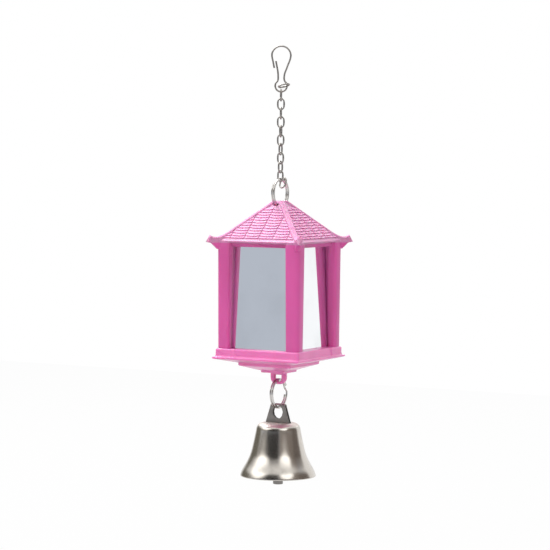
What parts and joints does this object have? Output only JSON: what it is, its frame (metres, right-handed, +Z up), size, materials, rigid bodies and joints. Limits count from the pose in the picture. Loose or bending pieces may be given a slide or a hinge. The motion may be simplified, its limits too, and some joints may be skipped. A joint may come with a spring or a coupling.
{
  "type": "bird mirror toy",
  "caption": "Hanging cage-bird toy: wire hook, chain and split ring carry a pink pagoda lantern with a mirror in each side, and a bell with a clapper below.",
  "frame": {"origin": "the point inside the top of the hook's bow where a cage wire carries the toy", "axes": "+Z up along the hanging toy; the lantern's sides face along X and Y, the front mirror faces -Y"},
  "size_m": [0.0572, 0.0572, 0.2283],
  "materials": {
    "wire_steel": "plated wire",
    "ring_steel": "bright nickel plate",
    "pink_plastic": "satin moulded",
    "mirror": "silvered sheet",
    "plate_steel": "dull plate",
    "nickel": "bright nickel plate"
  },
  "bodies": {
    "hook": {"hook": "wire_steel"},
    "start_link": {"start_link": "wire_steel"},
    "link_01": {"link_01": "wire_steel"},
    "link_02": {"link_02": "wire_steel"},
    "link_03": {"link_03": "wire_steel"},
    "link_04": {"link_04": "wire_steel"},
    "link_05": {"link_05": "wire_steel"},
    "link_06": {"link_06": "wire_steel"},
    "link_07": {"link_07": "wire_steel"},
    "link_08": {"link_08": "wire_steel"},
    "link_09": {"link_09": "wire_steel"},
    "link_10": {"link_10": "wire_steel"},
    "top_ring": {"top_ring": "ring_steel"},
    "end_link": {"end_link": "wire_steel"},
    "lantern": {"pagoda_frame": "pink_plastic", "mirror_front": "mirror", "mirror_right": "mirror", "mirror_back": "mirror", "mirror_left": "mirror", "base": "pink_plastic"},
    "bottom_ring": {"bottom_ring": "ring_steel"},
    "bell": {"bell_hanger": "plate_steel", "bell_shell": "nickel"},
    "clapper": {"clapper_wire": "wire_steel", "clapper": "plate_steel"}
  },
  "joints": [
    {"name": "start_link_swing", "type": "hinge", "parent": "hook", "child": "start_link", "pos_m": [0.00263, 0.00149, -0.0196], "axis": [-0.1286, -0.0728, 0.989], "range_deg": [-50, 20]},
    {"name": "link_01_swing", "type": "hinge", "parent": "hook", "child": "link_01", "pos_m": [0, 0, -0.0231], "axis": [0.8704, 0.4924, 0], "range_deg": [-60, 60]},
    {"name": "link_02_swing", "type": "hinge", "parent": "link_01", "child": "link_02", "pos_m": [0, 0, -0.02775], "axis": [-0.5664, 0.8241, 0], "range_deg": [-60, 60]},
    {"name": "link_03_swing", "type": "hinge", "parent": "link_02", "child": "link_03", "pos_m": [0, 0, -0.0324], "axis": [-0.8704, -0.4924, 0], "range_deg": [-60, 60]},
    {"name": "link_04_swing", "type": "hinge", "parent": "link_03", "child": "link_04", "pos_m": [0, 0, -0.03705], "axis": [0.4147, -0.91, 0], "range_deg": [-60, 60]},
    {"name": "link_05_swing", "type": "hinge", "parent": "link_04", "child": "link_05", "pos_m": [0, 0, -0.0417], "axis": [0.9426, 0.3338, 0], "range_deg": [-60, 60]},
    {"name": "link_06_swing", "type": "hinge", "parent": "link_05", "child": "link_06", "pos_m": [0, 0, -0.04635], "axis": [-0.2504, 0.9681, 0], "range_deg": [-60, 60]},
    {"name": "link_07_swing", "type": "hinge", "parent": "link_06", "child": "link_07", "pos_m": [0, 0, -0.051], "axis": [-0.9863, -0.165, 0], "range_deg": [-60, 60]},
    {"name": "link_08_swing", "type": "hinge", "parent": "link_07", "child": "link_08", "pos_m": [0, 0, -0.05565], "axis": [0.0785, -0.9969, 0], "range_deg": [-60, 60]},
    {"name": "link_09_swing", "type": "hinge", "parent": "link_08", "child": "link_09", "pos_m": [0, 0, -0.0603], "axis": [1, -0.0087, 0], "range_deg": [-60, 60]},
    {"name": "link_10_swing", "type": "hinge", "parent": "link_09", "child": "link_10", "pos_m": [0, 0, -0.06495], "axis": [0.0958, 0.9954, 0], "range_deg": [-60, 60]},
    {"name": "top_ring_swing", "type": "hinge", "parent": "link_10", "child": "top_ring", "pos_m": [0, 0, -0.0696], "axis": [-0.9833, 0.1822, 0], "range_deg": [-40, 40]},
    {"name": "end_link_swing", "type": "hinge", "parent": "top_ring", "child": "end_link", "pos_m": [0.00006, 0.00334, -0.0689], "axis": [0.0156, 0.8909, -0.454], "range_deg": [-70, 70]},
    {"name": "lantern_swing", "type": "hinge", "parent": "top_ring", "child": "lantern", "pos_m": [0, 0, -0.0816], "axis": [-0.0174, -0.9998, 0], "range_deg": [-24, 24]},
    {"name": "bottom_ring_swing", "type": "hinge", "parent": "lantern", "child": "bottom_ring", "pos_m": [0, 0, -0.17435], "axis": [1, 0, 0], "range_deg": [-36, 36]},
    {"name": "bell_swing", "type": "hinge", "parent": "bottom_ring", "child": "bell", "pos_m": [0, 0, -0.18725], "axis": [0.0174, 0.9998, 0], "range_deg": [-70, 70]},
    {"name": "clapper_swing", "type": "hinge", "parent": "bell", "child": "clapper", "pos_m": [0, 0, -0.199], "axis": [0, -1, 0], "range_deg": [-33, 33]}
  ]
}
